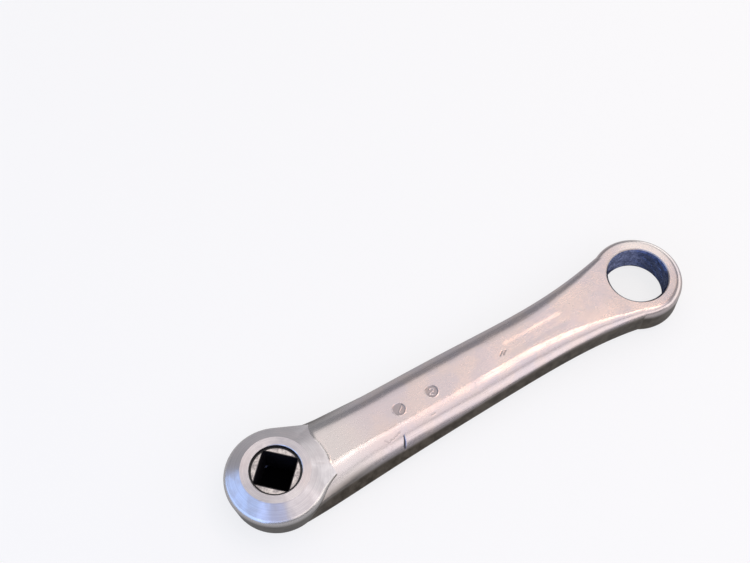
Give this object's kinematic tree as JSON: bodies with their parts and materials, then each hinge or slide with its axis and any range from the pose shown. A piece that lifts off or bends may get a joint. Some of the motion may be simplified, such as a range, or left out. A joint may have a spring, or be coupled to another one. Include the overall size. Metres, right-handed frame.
{
  "type": "bicycle crank arm",
  "caption": "Forged left-hand bicycle crank arm with a turned boss, a square taper socket and a threaded eye for a one-inch-thread pedal",
  "frame": {"origin": "on the spindle axis, at the boss's flat outer face, on which the arm rests", "axes": "+X along the arm from the spindle axis to the pedal axis, +Z along the spindle axis towards the bicycle, +Y across the arm"},
  "size_m": [0.2084, 0.0394, 0.0203],
  "materials": {
    "forged_aluminium": "polished and slightly worn, with a turned boss and dark side walls"
  },
  "bodies": {
    "root": {"crank_arm": "forged_aluminium"}
  },
  "joints": []
}
